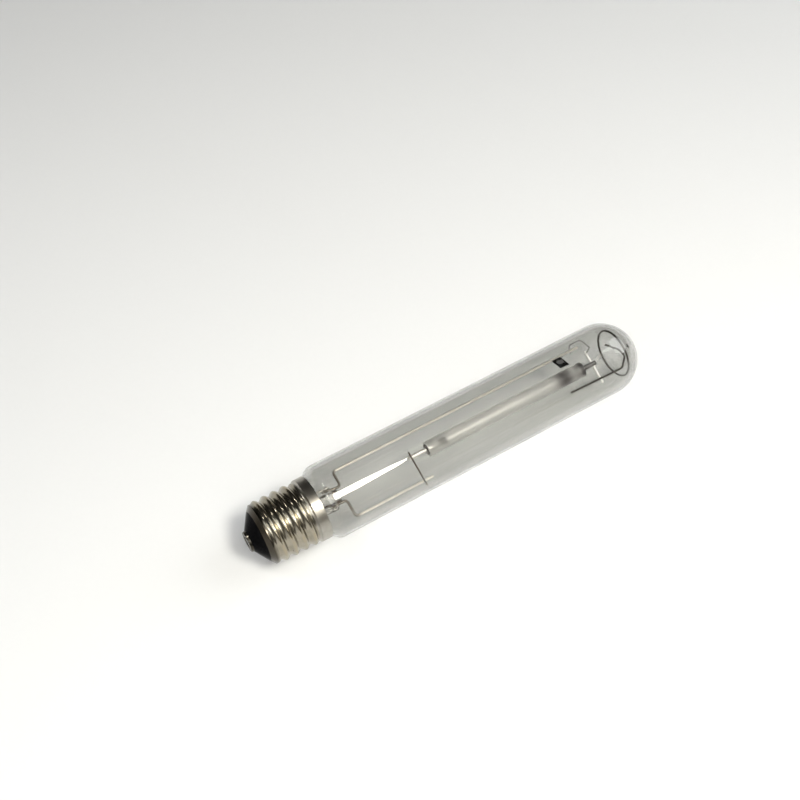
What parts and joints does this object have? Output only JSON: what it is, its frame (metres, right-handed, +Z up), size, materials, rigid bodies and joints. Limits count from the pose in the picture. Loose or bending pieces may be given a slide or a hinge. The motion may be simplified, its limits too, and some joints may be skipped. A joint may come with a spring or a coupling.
{
  "type": "high pressure sodium lamp",
  "caption": "Clear tubular high pressure sodium lamp with a 40 mm screw cap, a ceramic arc tube on a wire mount and a getter flag in the bulb.",
  "frame": {"origin": "centre of the cap's contact face, on the lamp's axis", "axes": "+X along the lamp from the contact to the dome, +Z up as the lamp lies in the picture"},
  "size_m": [0.2738, 0.0464, 0.0464],
  "materials": {
    "nickel_plate": "bright plating on brass, with soft drawing marks",
    "black_glass": "opaque black glass, glossy",
    "contact_metal": "tinned brass, worn bright",
    "solder": "dull tin solder",
    "cement": "dry cement",
    "clear_glass": "clear blown glass",
    "support_wire": "nickel-plated wire",
    "lead_wire": "fine nickel wire",
    "seal_wire": "dark oxidised wire",
    "alumina": "translucent polished alumina",
    "sealing_frit": "dark sealing glass",
    "niobium": "grey metal, satin",
    "tungsten": "dark grey metal",
    "getter_metal": "stamped sheet, satin",
    "getter_fill": "dark pressed powder",
    "amalgam": "bright metal bead"
  },
  "bodies": {
    "root": {"screw_shell": "nickel_plate", "cap_insulator": "black_glass", "centre_contact": "contact_metal", "contact_solder": "solder", "cap_cement": "cement", "side_solder": "solder", "outer_bulb": "clear_glass", "stem_glass": "clear_glass", "exhaust_tube": "clear_glass", "long_seal_pin": "seal_wire", "short_seal_pin": "seal_wire", "centre_lead": "lead_wire", "side_lead": "lead_wire", "long_support_rod": "support_wire", "short_support_rod": "support_wire", "cross_wire": "support_wire", "arc_tube": "alumina", "cap_end_plug": "alumina", "dome_end_plug": "alumina", "cap_seal_ring": "sealing_frit", "dome_seal_ring": "sealing_frit", "cap_niobium_tube": "niobium", "dome_niobium_tube": "niobium", "cap_electrode": "tungsten", "dome_electrode": "tungsten", "cross_bar": "support_wire", "dome_bow": "support_wire", "dome_ring": "support_wire", "ring_strap": "support_wire", "flexible_lead": "lead_wire", "getter_plate": "getter_metal", "getter_pill": "getter_fill", "amalgam_dose": "amalgam"}
  },
  "joints": []
}
